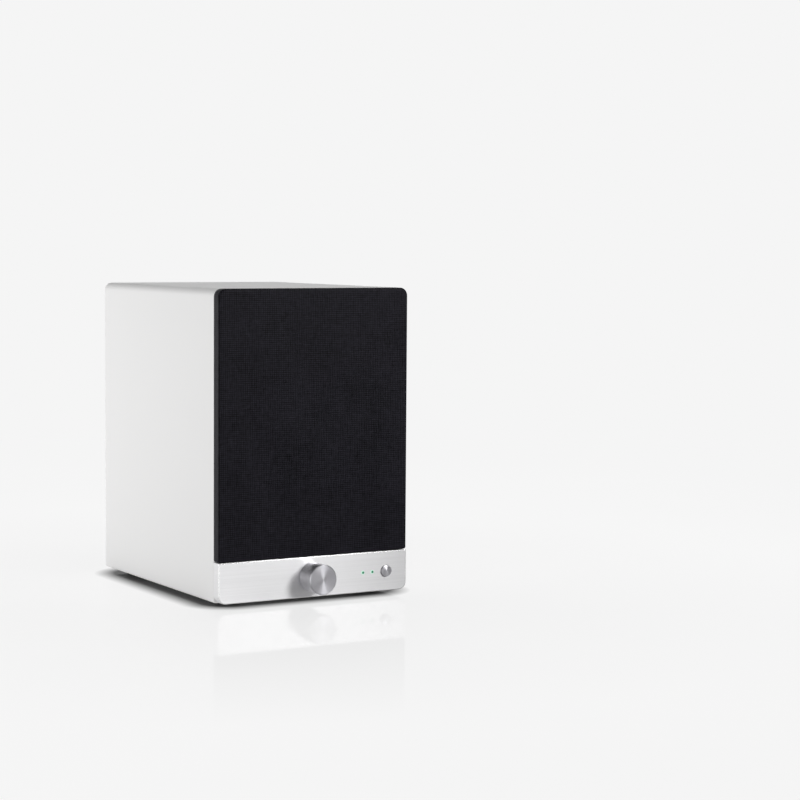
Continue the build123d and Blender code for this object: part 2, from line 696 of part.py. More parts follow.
def tweeter_suspension():
    """A small half-roll from the dome's edge to the groove in the mount."""
    thick = 0.3
    middle = (DOME_R + 14.0) / 2
    over = ThreePointArc((14.0, DOME_Y), (middle, DOME_Y - 1.3), (DOME_R + 0.4, DOME_Y))
    back = DOME_Y + thick
    under = ThreePointArc((DOME_R + 0.7, back), (middle, back - 1.3), (13.7, back))
    root = Polyline((DOME_R + 0.4, DOME_Y), (DOME_R, DOME_Y), (DOME_R, back), (DOME_R + 0.7, back))
    flange = Polyline((13.7, back), (15.5, back), (15.5, DOME_Y), (14.0, DOME_Y))
    return turned(TWEETER_AT, over, *root.edges(), under, *flange.edges())


def tweeter_coil():
    return ring(TWEETER_AT, (DOME_Y + 0.3, TWEETER_PLATE_Y[1] - 0.5), DOME_R + 0.4, DOME_R - 0.2)


def tweeter_magnet():
    """The tweeter's motor: front plate, ring magnet, and back plate with its pole."""
    front = ring(TWEETER_AT, TWEETER_PLATE_Y, 17.5, DOME_R + 0.9)
    magnet = ring(TWEETER_AT, TWEETER_MAGNET_Y, 17.0, 12.5)
    yoke = rod(TWEETER_AT, TWEETER_YOKE_Y, 16.5)
    yoke += rod(TWEETER_AT, (TWEETER_PLATE_Y[0], TWEETER_YOKE_Y[0]), DOME_R - 0.7)
    return group([front, magnet, yoke])


def port_tube():
    """A plain tube with a mounting flange and a flared inner end."""
    lip = FRONT + FLARE_R
    seat = BAFFLE_BACK - REAR_SEAT_DEPTH
    end = seat + PORT_LENGTH
    outer = PORT_R + PORT_WALL
    flare = 4.0
    profile = closed(
        (PORT_R, lip), (outer, lip), (outer, seat), (REAR_SEAT_R - 0.2, seat), (REAR_SEAT_R - 0.2, seat + 3),
        (outer, seat + 3), (outer, end - flare), (outer + 0.6, end - 2.0), (outer + 2.2, end - 0.8),
        (outer + 2.2, end), (PORT_R + 2.4, end), (PORT_R + 0.8, end - 1.4), (PORT_R, end - flare),
    )
    return turned(PORT_AT, *profile)


# ---- rear plate and connectors -------------------------------------------------------------------
def plate_screw_places():
    x = PLATE_SIZE[0] / 2 - 4.5
    z = PLATE_SIZE[1] / 2 - 4.5
    return [(i * x, PLATE_Z + k * z / 3) for i in (-1, 1) for k in (-3, -1, 1, 3)]


def connector_plate():
    """The black metal plate, with a hole for each connector and a column of stamped cooling slots."""
    body = plate(Pos(0, PLATE_Z) * RectangleRounded(*PLATE_SIZE, 4), (REAR_FACE, PLATE_FACE))
    body = chamfer(body.edges().group_by(Axis.Y)[-1], 0.3)
    through = (REAR_FACE - 1, PLATE_FACE + 1)
    for at in plate_screw_places():
        body -= rod(at, through, 1.7)
    body -= plate(Pos(*INLET_AT) * Rectangle(21, 13), through)
    body -= plate(Pos(*SWITCH_AT) * Rectangle(13, 19), through)
    body -= plate(Pos(*TERMINAL_AT) * Rectangle(46, 24), through)
    for x in JACK_X:
        body -= rod((x, JACK_Z), through, 4.6)
    body -= plate(Pos(*NETWORK_AT) * Rectangle(16.4, 13.9), through)
    body -= rod(SETUP_AT, through, 3.3)
    for k in range(7):
        slot = Pos(0, PLATE_Z + 48 + 4.5 * k) * SlotOverall(60, 1.8)
        body -= plate(slot, through)
    return body


def plate_screws():
    return group([screw(at, PLATE_FACE, REAR_FACE - 10.0, 3.1, 2.0, 1.5) for at in plate_screw_places()])


def mains_inlet():
    """A two-pole appliance inlet: flange, housing and a figure-of-eight recess."""
    x, z = INLET_AT
    face = PLATE_FACE + 1.5
    body = plate(Pos(x, z) * RectangleRounded(27, 19, 3), (PLATE_FACE, face))
    body = chamfer(body.edges().group_by(Axis.Y)[-1], 0.4)
    body += plate(Pos(x, z) * Rectangle(20.8, 12.8), (REAR_FACE - 14, PLATE_FACE))
    return body - plate(Pos(x, z) * SlotOverall(16.6, 8.8), (face - 13, face + 1))


def inlet_pins():
    face = PLATE_FACE + 1.5
    pins = []
    for x in (INLET_AT[0] - 4.3, INLET_AT[0] + 4.3):
        pin = rod((x, INLET_AT[1]), (face - 13, face - 3), 1.2)
        pins.append(fillet(pin.edges().sort_by(Axis.Y)[-1], 0.5))
    return group(pins)


def switch_housing():
    x, z = SWITCH_AT
    face = PLATE_FACE + 1.5
    body = plate(Pos(x, z) * RectangleRounded(15, 21, 1.5), (PLATE_FACE, face))
    body = chamfer(body.edges().group_by(Axis.Y)[-1], 0.4)
    body += plate(Pos(x, z) * Rectangle(12.8, 18.8), (REAR_FACE - 14, PLATE_FACE))
    body -= plate(Pos(x, z) * Rectangle(11, 17), (face - 11, face + 1))
    return body - pivot(x, 12.0, (rocker_pivot_y(), z), 1.0 + SHAFT_CLEARANCE)


def pivot(x, length, at, r):
    """A round bar along X through (y, z)."""
    y, z = at
    return Pos(x, y, z) * Rot(0, 90, 0) * Cylinder(r, length)


def rocker_pivot_y():
    return PLATE_FACE - 3.0


def switch_rocker():
    """The paddle, tilted to one of its two positions."""
    x, z = SWITCH_AT
    half = 7.6
    profile = closed((4.8, half), (3.0, 0), (4.8, -half), (0, -half), (-2.2, -3), (-2.2, 3), (0, half))
    paddle = extrude(Plane.YZ.offset(-5.2) * make_face(profile), 10.4)
    paddle += pivot(0, 11.8, (0, 0), 1.0)
    return Pos(x, rocker_pivot_y(), z) * Rot(-ROCKER_TILT, 0, 0) * paddle


def terminal_block():
    """The spring terminals' housing: a pocket for each lever and a square wire entry below it."""
    x, z = TERMINAL_AT
    face = PLATE_FACE + 2.0
    body = plate(Pos(x, z) * RectangleRounded(52, 30, 2), (PLATE_FACE, face))
    body = chamfer(body.edges().group_by(Axis.Y)[-1], 0.4)
    body += plate(Pos(x, z) * Rectangle(45.8, 23.8), (REAR_FACE - 14, PLATE_FACE))
    for side in (-LEVER_X, LEVER_X):
        body -= block((side - 7.3, side + 7.3), (face - POCKET_DEPTH, face + 1), (z - 3.8, z + 11.2))
        body -= block((side - 2.6, side + 2.6), (face - 14, face + 1), (z - 10.2, z - 5.0))
        body -= pivot(side, 17.2, lever_pivot(), 1.2 + SHAFT_CLEARANCE)
    return body


def lever_pivot():
    return (PLATE_FACE - 3.0, TERMINAL_AT[1] + 8.4)


def lever(x):
    """A push lever that turns on two stub pins at its upper end, with a ribbed thumb pad."""
    y, z = lever_pivot()
    face = PLATE_FACE + 4.0
    low = TERMINAL_AT[1] - 1.2
    profile = closed(
        (y - 1.6, z + 1.6), (y - 1.6, low + 3.0), (face - 4.5, low), (face - 0.6, low), (face, low + 0.8),
        (face, low + 6.0), (PLATE_FACE + 1.2, z + 1.6),
    )
    body = extrude(Plane.YZ.offset(x - 6.9) * make_face(profile), 13.8)
    body += pivot(x, 16.6, (y, z), 1.2)
    for k in range(3):
        body -= block((x - 5, x + 5), (face - 0.5, face + 1), (low + 1.6 + 1.4 * k, low + 2.2 + 1.4 * k))
    return body


def terminal_springs():
    """A leaf behind each lever, that returns it and clamps the wire."""
    y = (PLATE_FACE + 2.0 - POCKET_DEPTH, lever_pivot()[0] - 1.6)
    z = TERMINAL_AT[1]
    leaves = []
    for x in (-LEVER_X, LEVER_X):
        profile = closed(
            (y[0], z + 8.0), (y[0] + 0.4, z + 8.0), (y[1] - 0.05, z + 3.4), (y[1] - 0.05, z + 2.8),
            (y[0], z + 7.3),
        )
        leaves.append(extrude(Plane.YZ.offset(x - 3) * make_face(profile), 6))
    return group(leaves)


def line_in_jacks():
    """Phono jacks: a metal sleeve with a hexagonal collar."""
    jacks = []
    for x in JACK_X:
        at = (x, JACK_Z)
        collar = plate(Pos(*at) * RegularPolygon(5.5, 6, major_radius=False), (PLATE_FACE, PLATE_FACE + 2))
        sleeve = rod(at, (REAR_FACE - 6, PLATE_FACE + JACK_LENGTH), JACK_R)
        sleeve = chamfer(sleeve.edges().sort_by(Axis.Y)[-1], 0.3)
        jacks.append(collar + sleeve - rod(at, (REAR_FACE - 7, PLATE_FACE + JACK_LENGTH + 1), 3.3))
    return group(jacks)


def jack_insulators():
    bodies = []
    for x in JACK_X:
        at = (x, JACK_Z)
        body = rod(at, (REAR_FACE - 6, PLATE_FACE + JACK_LENGTH - 0.6), 3.3)
        bodies.append(body - rod(at, (PLATE_FACE - 2, PLATE_FACE + JACK_LENGTH + 1), 1.65))
    return group(bodies)


def network_socket():
    """A shielded eight-way network socket with its latch notch."""
    x, z = NETWORK_AT
    face = PLATE_FACE + 0.8
    body = plate(Pos(x, z) * Rectangle(16.0, 13.5), (AMP_BOARD_BACK, face))
    depth = (face - 12, face + 1)
    body -= plate(Pos(x, z + 0.9) * Rectangle(11.8, 7.2), depth)
    return body - plate(Pos(x, z - 4.0) * Rectangle(6.0, 2.8), depth)


def setup_button():
    flange = (REAR_FACE - 1.1, REAR_FACE - 0.1)
    body = rod(SETUP_AT, (flange[1], PLATE_FACE + 1.4), 3.0)
    body = fillet(body.edges().sort_by(Axis.Y)[-1], 0.5)
    body += rod(SETUP_AT, flange, 4.2)
    return body + rod(SETUP_AT, (REAR_FACE - 3.0, flange[0]), 1.5)


# ---- electronics ---------------------------------------------------------------------------------
def board_on_floor(x, y):
    z = FLOOR_IN + STANDOFF
    body = block(x, y, (z, z + BOARD_T))
    for px in (x[0] + 4, x[1] - 4):
        for py in (y[0] + 4, y[1] - 4):
            body += Pos(px, py, FLOOR_IN + STANDOFF / 2) * Cylinder(2.5, STANDOFF)
    return body


CROSSOVER_X = (-36.0, 36.0)
CROSSOVER_Y = (-62.0, 2.0)
SUPPLY_X = (-38.0, 62.0)
SUPPLY_Y = (46.0, 98.0)
BOARD_TOP = FLOOR_IN + STANDOFF + BOARD_T


def standing_drum(x, y, r, height, hole=0.0):
    body = Pos(x, y, BOARD_TOP + height / 2) * Cylinder(r, height)
    if hole:
        body -= Pos(x, y, BOARD_TOP + height / 2) * Cylinder(hole, height + 2)
    return body


def crossover_board():
    """The crossover: its board, two air-core coils and two capacitors lying flat."""
    coils = [standing_drum(-18, -42, 13, 15, 5.5), standing_drum(18, -14, 10, 12, 4.5)]
    cans = ((16, -46, 6), (-18, -14, 5))
    lying = [Pos(x, y, BOARD_TOP + r) * Rot(0, 90, 0) * Cylinder(r, 26) for x, y, r in cans]
    return group([board_on_floor(CROSSOVER_X, CROSSOVER_Y), *coils, *lying])


def supply_board():
    """The power supply: its board, three capacitors and a transformer with its winding showing."""
    core = block((8, 38), (58, 86), (BOARD_TOP, BOARD_TOP + 24))
    transformer = core + block((11, 35), (54, 90), (BOARD_TOP + 4, BOARD_TOP + 20))
    places = ((-24, 58), (-24, 82), (-4, 70))
    cans = [fillet(standing_drum(x, y, 8, 28).edges().sort_by(Axis.Z)[-1], 1) for x, y in places]
    return group([board_on_floor(SUPPLY_X, SUPPLY_Y), transformer, *cans])


def amplifier_board():
    """The amplifier: its board, the shielded network receiver and the setup button's switch."""
    front = AMP_BOARD_BACK - BOARD_T
    board = block((-46, 46), (front, AMP_BOARD_BACK), (102, 184))
    receiver = block((-26, 18), (front - 4.5, front), (156, 180))
    x, z = SETUP_AT
    switch = block((x - 3, x + 3), (AMP_BOARD_BACK, REAR_FACE - 4.0), (z - 3, z + 3))
    return group([board, receiver, switch])


def heat_sink():
    """A finned block on the amplifier board."""
    front = AMP_BOARD_BACK - BOARD_T
    body = block((-30, 30), (front - 4, front), (108, 150))
    for k in range(9):
        x = -28 + 7 * k
        body += block((x - 1, x + 1), (front - 20, front - 4), (108, 150))
    return body


def woofer_lead():
    z = WOOFER_AT[1] - TOP_PLATE_R - 17.0
    y = SPIDER_Y + 4.25
    end = (-1.0, -56.0, BOARD_TOP + WIRE_END)
    points = [(-5.5, y, z), (-5.5, y, z - 12), (end[0], end[1], end[2] + 14), end]
    return wire(points, 1.5)


def tweeter_lead():
    x, z = TWEETER_AT
    y = TWEETER_YOKE_Y[1] + WIRE_END
    end = (28.0, -27.0, BOARD_TOP + WIRE_END)
    points = [(x, y, z), (x, y + 14, z), (x + 18, y + 22, z - 30), (x + 24, y + 30, z - 78),
              (x + 22, y + 36, z - 130), (end[0], end[1], end[2] + 20), end]
    return wire(points, 1.5)


def control_cable():
    x, z = GROMMET_AT
    end = (-40.0, AMP_BOARD_BACK - BOARD_T - WIRE_END, 110.0)
    points = [(x, FRONT + 1.0, z), (x, BAFFLE_BACK + 10, z), (-50, -30, z + 6), (-48, 30, z + 18),
              (-48, 62, z + 42), (end[0], end[1] - 14, end[2]), end]
    return wire(points, 1.9)


def supply_cable():
    start = (-34.0, 70.0, BOARD_TOP + WIRE_END)
    end = (-34.0, AMP_BOARD_BACK - BOARD_T - WIRE_END, 112.0)
    points = [start, (start[0], start[1], 54), (-37, 80, 84), (end[0], end[1] - 13, end[2]), end]
    return wire(points, 1.6)


def inner_wiring():
    return group([woofer_lead(), tweeter_lead(), control_cable(), supply_cable()])


def terminal_lever_left():
    return lever(-LEVER_X)


def terminal_lever_right():
    return lever(LEVER_X)


NODES = [
    cabinet_wrap, front_baffle, rear_panel, window_brace, damping_felt, feet, grille_frame, grille_pegs,
    grille_cloth, grille_sockets, front_bar, volume_knob, knob_set_screw, encoder_shaft, encoder,
    control_board, small_screws, bar_screws, light_pipes, power_button, button_dome, cable_grommet,
    woofer_basket, woofer_gasket, woofer_surround, woofer_cone, dust_cap, voice_coil_former, voice_coil,
    woofer_spider, woofer_magnet, woofer_pole_plates, woofer_screws, woofer_terminals, tweeter_mount,
    tweeter_guard, tweeter_dome, tweeter_suspension, tweeter_coil, tweeter_magnet, port_tube,
    connector_plate, plate_screws, mains_inlet, inlet_pins, switch_housing, switch_rocker, terminal_block,
    terminal_lever_left, terminal_lever_right, terminal_springs, line_in_jacks, jack_insulators,
    network_socket, setup_button, amplifier_board, heat_sink, supply_board, crossover_board, inner_wiring,
]

os.makedirs("parts", exist_ok=True)
for make in NODES:
    export_step(make(), f"parts/{make.__name__}.step")
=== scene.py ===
import json
from math import cos, pi, radians, sin

import bpy
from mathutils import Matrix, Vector, noise

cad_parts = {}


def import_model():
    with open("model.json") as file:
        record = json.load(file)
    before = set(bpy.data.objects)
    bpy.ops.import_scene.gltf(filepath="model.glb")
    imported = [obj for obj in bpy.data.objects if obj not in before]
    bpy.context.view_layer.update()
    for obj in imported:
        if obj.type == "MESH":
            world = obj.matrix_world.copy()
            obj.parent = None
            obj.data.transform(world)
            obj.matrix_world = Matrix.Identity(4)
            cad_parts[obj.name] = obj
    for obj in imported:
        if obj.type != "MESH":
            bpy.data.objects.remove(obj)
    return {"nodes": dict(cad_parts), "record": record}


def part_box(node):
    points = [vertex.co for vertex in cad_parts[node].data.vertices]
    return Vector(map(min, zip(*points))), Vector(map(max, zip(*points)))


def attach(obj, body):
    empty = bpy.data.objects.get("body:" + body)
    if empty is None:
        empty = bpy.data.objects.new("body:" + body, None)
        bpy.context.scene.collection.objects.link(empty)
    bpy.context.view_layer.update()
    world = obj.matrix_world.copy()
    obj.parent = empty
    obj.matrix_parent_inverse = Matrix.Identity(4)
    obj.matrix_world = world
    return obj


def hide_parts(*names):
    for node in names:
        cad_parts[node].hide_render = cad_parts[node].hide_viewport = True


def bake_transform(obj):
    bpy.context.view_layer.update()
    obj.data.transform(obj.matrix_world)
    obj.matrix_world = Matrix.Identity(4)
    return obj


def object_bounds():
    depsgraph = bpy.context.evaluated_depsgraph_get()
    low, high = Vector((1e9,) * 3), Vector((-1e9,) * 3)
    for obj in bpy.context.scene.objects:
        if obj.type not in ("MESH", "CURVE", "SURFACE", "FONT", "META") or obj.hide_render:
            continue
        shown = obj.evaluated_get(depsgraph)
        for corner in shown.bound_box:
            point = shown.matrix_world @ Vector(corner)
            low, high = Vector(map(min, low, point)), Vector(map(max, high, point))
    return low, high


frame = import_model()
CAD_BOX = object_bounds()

# An active bookshelf speaker on a pale floor. Metres, in the CAD model's frame: +Z up, the front faces -Y.
MM = 0.001


def centre(node):
    low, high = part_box(node)
    return (low + high) / 2


def half_size(node):
    low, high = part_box(node)
    return (high - low) / 2


MIDDLE = (CAD_BOX[0] + CAD_BOX[1]) / 2
KNOB = centre("volume_knob")
BUTTON = centre("power_button")
WOOFER = centre("woofer_cone")
TWEETER = centre("tweeter_dome")
LIGHTS = centre("light_pipes")


def new_mesh(name, points, faces):
    mesh = bpy.data.meshes.new(name)
    mesh.from_pydata(points, [], faces)
    mesh.update()
    return mesh


def new_object(name, data):
    """A new object in the scene, which holds a mesh, a light or a camera."""
    thing = bpy.data.objects.new(name, data)
    bpy.context.scene.collection.objects.link(thing)
    return thing


# ---- looks ------------------------------------------------------------------------------------------
class Look:
    """One material's node tree, with a short call for each kind of node that the looks below use."""

    def __init__(self, name, **values):
        self.material = bpy.data.materials.new(name)
        self.material.use_nodes = True
        self.nodes = self.material.node_tree.nodes
        self.shader = self.nodes["Principled BSDF"]
        self.set(**values)

    def put(self, value, socket):
        """Links a node's output to a socket, or gives the socket a plain value."""
        if isinstance(value, bpy.types.NodeSocket):
            self.material.node_tree.links.new(value, socket)
        else:
            socket.default_value = value

    def set(self, **values):
        """Puts values on the shader's sockets, which are named with _ for a space."""
        for name, value in values.items():
            self.put(value, self.shader.inputs[name.replace("_", " ")])

    def add(self, kind, values, output=0, **settings):
        """A new node's output. The keys of values are its sockets, by name or by number."""
        node = self.nodes.new("ShaderNode" + kind)
        for name, value in settings.items():
            setattr(node, name, value)
        for key, value in values.items():
            self.put(value, node.inputs[key])
        return node.outputs[output]

    def maths(self, operation, *values):
        return self.add("Math", dict(enumerate(values)), operation=operation)

    def weigh(self, first, share, second):
        """A share of the first value plus the rest of the second."""
        rest = self.maths("MULTIPLY", second, 1 - share)
        return self.maths("ADD", self.maths("MULTIPLY", first, share), rest)

    def place(self, scale=(1, 1, 1), origin=(0, 0, 0)):
        """The point in the object's own coordinates, from an origin. A larger scale gives a finer grain."""
        point = self.add("TexCoord", {}, output=3)
        location = [-s * o for s, o in zip(scale, origin)]
        return self.add("Mapping", {"Vector": point, "Scale": scale, "Location": location})

    def part(self, vector, axis):
        return self.add("SeparateXYZ", {0: vector}, output="XYZ".index(axis))

    def length(self, vector):
        return self.add("VectorMath", {0: vector}, output=1, operation="LENGTH")

    def radius(self, origin, flatten=(1, 0, 1)):
        """How far a point is from the line through an origin, along the axis that is flattened."""
        return self.length(self.place(flatten, origin))

    def facing(self):
        """How squarely the surface faces along Y: 1 on a flat front or back, 0 on a side."""
        normal = self.add("TexCoord", {}, output=1)
        return self.maths("ABSOLUTE", self.part(normal, "Y"))

    def noise(self, vector, scale, detail=3.0):
        return self.add("TexNoise", {"Vector": vector, "Scale": scale, "Detail": detail})

    def noise_along(self, distance, detail=4.0):
        return self.add("TexNoise", {"W": distance, "Scale": 1.0, "Detail": detail}, noise_dimensions="1D")

    def spread(self, value, low, high, start=0.3, end=0.7):
        """A value between start and end, carried over to low and high."""
        names = ("Value", "From Min", "From Max", "To Min", "To Max")
        return self.add("MapRange", dict(zip(names, (value, start, end, low, high))))

    def between(self, factor, first, second):
        """A colour from first to second, as factor goes from 0 to 1."""
        values = {0: factor, 6: as_colour(first), 7: as_colour(second)}
        return self.add("Mix", values, output=2, data_type="RGBA")

    def relief(self, height, strength, depth):
        self.set(Normal=self.add("Bump", {"Height": height, "Strength": strength, "Distance": depth}))

    def colour(self, factor, first, second):
        self.set(Base_Color=self.between(factor, first, second))

    def rough(self, factor, low, high):
        self.set(Roughness=self.spread(factor, low, high))


def as_colour(value):
    if isinstance(value, bpy.types.NodeSocket):
        return value
    return (*value, 1.0)


# Faint casts of colour, as shares of red, green and blue.
KNOB_TINT = (1.01, 1.0, 1.05)
BAR_TINT = (1.003, 1.0, 1.010)


def grey(value, warmth=0.0):
    return (value * (1 + warmth), value, value * (1 - warmth))


def tinted(value, tint):
    return [value * c for c in tint]


def lacquer():
    """White satin lacquer: slight unevenness in tone and a fine orange peel."""
    look = Look("white_lacquer", Specular_IOR_Level=0.3)
    point = look.place()
    look.colour(look.noise(point, 5.0), grey(0.825, 0.004), grey(0.845, 0.003))
    look.rough(look.noise(point, 40.0), 0.30, 0.36)
    look.relief(look.noise(point, 500.0, 1.0), 0.015, 0.2 * MM)
    return look.material


def brushed_bar():
    """Aluminium brushed along X, with its bevels polished."""
    look = Look("bar_aluminium", Metallic=1.0, Anisotropic=0.8)
    streaks = look.noise(look.place((6, 900, 4200)), 1.0, 4.0)
    bands = look.noise(look.place((2, 60, 700)), 1.0, 2.0)
    tone = look.spread(look.weigh(streaks, 0.85, bands), 0.0, 1.0, 0.35, 0.65)
    brushed = look.between(tone, tinted(0.84, BAR_TINT), tinted(0.90, BAR_TINT))
    facing = look.facing()
    not_a_side = look.maths("GREATER_THAN", facing, 0.3)
    not_flat = look.maths("LESS_THAN", facing, 0.97)
    bevel = look.maths("MULTIPLY", not_a_side, not_flat)
    look.colour(bevel, brushed, grey(0.90))
    rough = look.spread(streaks, 0.36, 0.42)
    polish = look.maths("MULTIPLY", bevel, 0.15)
    look.set(Roughness=look.maths("SUBTRACT", rough, polish))
    look.relief(streaks, 0.05, 0.03 * MM)
    look.set(Tangent=look.add("CombineXYZ", {2: 1.0}))
    return look.material


def turned_metal(name, origin, base, rough, pitch):
    """Metal turned about the line along Y through an origin: fine rings on its face and its side."""
    look = Look(name, Metallic=1.0, Anisotropic=0.75, Anisotropic_Rotation=0.25)
    along = look.part(look.place(), "Y")
    travel = look.maths("ADD", look.radius(origin), look.maths("MULTIPLY", along, 0.8))
    rings = look.noise_along(look.maths("DIVIDE", travel, pitch))
    look.colour(rings, tinted(base * 0.86, KNOB_TINT), tinted(base * 1.08, KNOB_TINT))
    side = look.maths("LESS_THAN", look.facing(), 0.3)
    turned = look.spread(rings, rough * 0.8, rough * 1.25)
    smoother = look.maths("MULTIPLY", side, rough * 0.35)
    look.set(Roughness=look.maths("SUBTRACT", turned, smoother))
    look.relief(rings, 0.25, 0.05 * MM)
    look.set(Tangent=look.add("Tangent", {}, direction_type="RADIAL", axis="Y"))
    return look.material


def metal(name, base, rough, blotch=120.0, warmth=0.0):
    """Plated or oxidised metal with faint blotches and short scratches."""
    look = Look(name, Metallic=1.0)
    blotches = look.noise(look.place(), blotch, 5.0)
    scratches = look.noise(look.place((200, 3000, 700)), 1.0, 3.0)
    look.colour(blotches, grey(base * 0.85, warmth), grey(min(base * 1.12, 0.96), warmth))
    look.rough(look.weigh(blotches, 0.6, scratches), rough * 0.75, rough * 1.3)
    look.relief(scratches, 0.06, 0.05 * MM)
    return look.material


def moulded(name, base, rough, grain=1800.0, depth=0.08 * MM, strength=0.25, gloss=0.0):
    """Moulded plastic or rubber: a fine even grain, with a little unevenness in tone and gloss."""
    look = Look(name, Coat_Weight=gloss, Coat_Roughness=0.15)
    point = look.place()
    slow = look.noise(point, 35.0)
    fine = look.noise(point, grain, 2.0)
    look.colour(slow, tinted(0.8, base), tinted(1.25, base))
    look.rough(look.weigh(slow, 0.5, fine), rough * 0.85, min(rough * 1.15, 1.0))
    look.relief(fine, strength, depth)
    return look.material


def woven(name, dark, light, pitch, rough, sheen=0.0, depth=0.2 * MM, slubs=0.35, gloss=0.15):
    """Cloth in a plain weave, with painted shade in the gaps between threads and a painted highlight on
    their crowns. Y is added to both directions, so that the weave goes on round the sides.
    """
    look = Look(name, Sheen_Weight=sheen, Sheen_Roughness=0.4, Specular_IOR_Level=gloss)
    point = look.place()
    wander = look.maths("MULTIPLY", look.noise(point, 160.0, 2.0), 0.5 * pitch)
    threads = []
    for axis in "XZ":
        across = look.maths("ADD", look.part(point, axis), look.part(point, "Y"))
        across = look.maths("ADD", across, wander)
        threads.append(look.maths("SINE", look.maths("MULTIPLY", across, pi / pitch)))
    weave = look.maths("ABSOLUTE", look.maths("MULTIPLY", *threads))
    weft = look.noise(look.place((160, 300, 1300)), 1.0, 2.0)
    warp = look.noise(look.place((1300, 300, 160)), 1.0, 2.0)
    patches = look.noise(point, 26.0, 4.0)
    uneven = look.maths("ADD", look.maths("ADD", weft, warp), look.maths("MULTIPLY", patches, 0.6))
    mean = 1.3
    swell = look.maths("MULTIPLY", look.maths("SUBTRACT", uneven, mean), 3 * slubs)
    height = look.maths("ADD", weave, swell)
    # Painted shade and highlight: the colour follows the weave's height, darker in the gaps and lighter on
    # the crowns; the slubs and patches add tone that differs at random.
    look.colour(look.spread(height, 0.0, 1.0, -0.2, 1.2), dark, light)
    look.rough(patches, rough * 0.9, min(1.0, rough * 1.1))
    look.relief(height, 0.6, depth)
    return look.material


def felted():
    """Needled felt: short fibres lying every way, in light and dark patches."""
    look = Look("felt", Sheen_Weight=0.3, Specular_IOR_Level=0.2)
    point = look.place()
    fibres = look.add("TexNoise", {"Vector": point, "Scale": 900.0, "Detail": 5.0, "Distortion": 1.5})
    patches = look.noise(point, 70.0)
    look.colour(look.spread(look.weigh(fibres, 0.7, patches), 0.0, 1.0), grey(0.07), grey(0.22))
    look.rough(patches, 0.88, 0.98)
    look.relief(fibres, 0.7, 0.4 * MM)
    return look.material


def pressed_cone(name, origin, base, rough):
    """Coated paper pulp, pressed: fine rings about its axis and a mottled surface."""
    look = Look(name)
    rings = look.noise_along(look.maths("DIVIDE", look.radius(origin), 0.6 * MM), 2.0)
    pulp = look.noise(look.place(), 700.0, 4.0)
    height = look.weigh(rings, 0.4, pulp)
    look.colour(height, grey(base * 0.75), grey(base * 1.3))
    look.rough(pulp, rough * 0.85, rough * 1.15)
    look.relief(height, 0.3, 0.1 * MM)
    return look.material


def wound(name, base, rough, pitch):
    """A coil: turns of enamelled wire side by side along Y, with painted shade in the grooves between the
    turns.
    """
    look = Look(name, Metallic=1.0)
    turns = look.maths("SINE", look.maths("MULTIPLY", look.part(look.place(), "Y"), 2 * pi / pitch))
    look.colour(look.spread(turns, 0.0, 1.0, -1.0, 1.0), tinted(0.6, base), base)
    look.rough(look.noise(look.place(), 300.0), rough * 0.8, rough * 1.2)
    look.relief(turns, 0.5, 0.1 * MM)
    return look.material


def light_pipe():
    """Two clear pipes lit from behind: deep green in the middle and paler towards the edge."""
    look = Look("light_pipe", Roughness=0.25, Emission_Strength=1.0)
    pipe_r, core_r, rim_r = 2.2 * MM, 0.85 * MM, 1.25 * MM
    point = look.place(origin=LIGHTS)
    half_gap = half_size("light_pipes").x - pipe_r
    x = look.maths("SUBTRACT", look.maths("ABSOLUTE", look.part(point, "X")), half_gap)
    off_axis = look.length(look.add("CombineXYZ", {0: x, 2: look.part(point, "Z")}))
    edge = look.spread(off_axis, 0.0, 1.0, core_r, rim_r)
    look.colour(edge, (0.02, 0.10, 0.06), (0.4, 0.5, 0.45))
    look.set(Emission_Color=look.between(edge, (0.01, 0.12, 0.06), (0.45, 0.74, 0.58)))
    look.relief(look.noise(point, 900.0), 0.05, 0.1 * MM)
    return look.material


def board():
    """A circuit board: solder mask over a grid of fine tracks."""
    look = Look("circuit_board")
    point = look.place()
    white, black = (1, 1, 1, 1), (0, 0, 0, 1)
    fine = look.add("VectorMath", {0: point, 1: (700, 700, 700)}, operation="MULTIPLY")
    values = {"Vector": fine, "Scale": 1.0, "Mortar Size": 0.06}
    tracks = look.add("TexBrick", {**values, "Color1": white, "Color2": white, "Mortar": black})
    look.colour(tracks, (0.03, 0.21, 0.09), (0.012, 0.10, 0.045))
    look.rough(look.noise(point, 200.0), 0.25, 0.4)
    look.relief(tracks, 0.2, 0.1 * MM)
    return look.material


def fibreboard():
    """Bare wood fibre, pressed: a mottled brown."""
    look = Look("fibreboard")
    point = look.place()
    look.colour(look.noise(point, 1400.0, 6.0), (0.30, 0.20, 0.12), (0.52, 0.38, 0.25))
    look.rough(look.noise(point, 300.0), 0.75, 0.9)
    look.relief(look.noise(point, 2200.0), 0.3, 0.2 * MM)
    return look.material


def ferrite():
    """A sintered magnet: dark grey and grainy."""
    look = Look("ferrite")
    point = look.place()
    look.colour(look.noise(point, 1500.0, 5.0), grey(0.045), grey(0.10, -0.02))
    look.rough(look.noise(point, 120.0), 0.45, 0.7)
    look.relief(look.noise(point, 900.0, 5.0), 0.4, 0.2 * MM)
    return look.material


def jack_colours():
    """The insulator of the jack at -X is white and that of the one at +X is red."""
    look = Look("jack_insulator", Coat_Weight=0.3)
    side = look.maths("GREATER_THAN", look.part(look.place(origin=centre("line_in_jacks")), "X"), 0.0)
    look.colour(side, (0.80, 0.79, 0.76), (0.55, 0.02, 0.02))
    look.rough(look.noise(look.place(), 400.0), 0.3, 0.45)
    look.relief(look.noise(look.place(), 1500.0), 0.1, 0.1 * MM)
    return look.material


